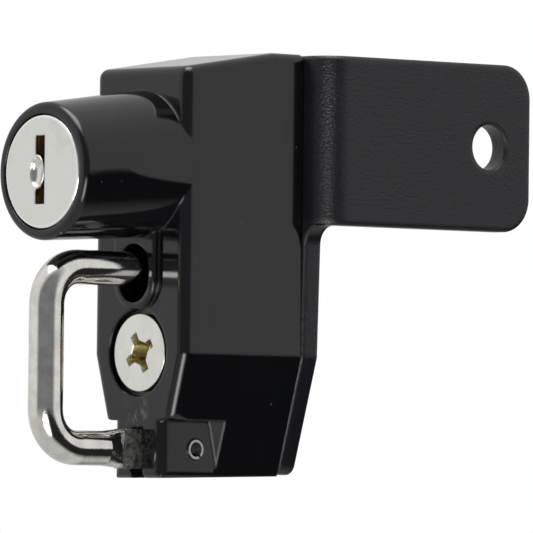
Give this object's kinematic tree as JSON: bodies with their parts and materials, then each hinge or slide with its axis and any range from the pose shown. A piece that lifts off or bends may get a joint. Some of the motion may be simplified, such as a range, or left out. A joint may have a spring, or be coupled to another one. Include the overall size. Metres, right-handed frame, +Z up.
{
  "type": "keyed bail lock",
  "caption": "Black keyed lock on an L-shaped bracket: a hinged steel bail closes on the housing's front and a turning cylinder drives a bolt into its notched free leg",
  "frame": {"origin": "centre of the bolt hole at the outer face of the bracket's tab", "axes": "+X out of the bracket's tab, +Y from the lock's face to its back, +Z up; the key goes in along +Y"},
  "size_m": [0.0232, 0.0736, 0.0551],
  "materials": {
    "body_paint": "gloss",
    "bracket_paint": "gloss, slight orange peel",
    "bail_chrome": "polished",
    "stainless": "satin",
    "screw_plating": "bright zinc plating",
    "brass": "machined",
    "zinc": "die cast",
    "spring_steel": "drawn wire",
    "steel": "zinc plated"
  },
  "bodies": {
    "lock_body": {"housing": "body_paint", "back_cover": "zinc", "cover_screw_upper": "steel", "cover_screw_lower": "steel", "bracket": "bracket_paint", "mounting_screw": "screw_plating", "hinge_pin": "steel"},
    "bail": {"bail": "bail_chrome"},
    "cylinder": {"plug_cap": "stainless", "lock_plug": "brass", "wafer_1": "brass", "wafer_2": "brass", "wafer_3": "brass", "wafer_4": "brass", "wafer_5": "brass", "wafer_6": "brass", "wafer_spring_1": "spring_steel", "wafer_spring_2": "spring_steel", "wafer_spring_3": "spring_steel", "wafer_spring_4": "spring_steel", "wafer_spring_5": "spring_steel", "wafer_spring_6": "spring_steel", "plug_clip": "steel", "drive_pin": "steel"},
    "bolt": {"lock_bolt": "zinc"}
  },
  "joints": [
    {"name": "bail_swing", "type": "hinge", "parent": "lock_body", "child": "bail", "pos_m": [-0.0136, -0.0428, -0.0403], "axis": [1, 0, 0], "range_deg": [0, 95]},
    {"name": "plug_turn", "type": "hinge", "parent": "lock_body", "child": "cylinder", "pos_m": [-0.0136, -0.0586, -0.00515], "axis": [0, 1, 0], "range_deg": [0, 90]},
    {"name": "bolt_slide", "type": "slide", "parent": "lock_body", "child": "bolt", "axis": [0, 0, -1], "range_m": [0, 0.003]}
  ],
  "couplings": [
    {"joint": "plug_turn", "follows": "bolt_slide", "rad_per_m": 523.6}
  ]
}
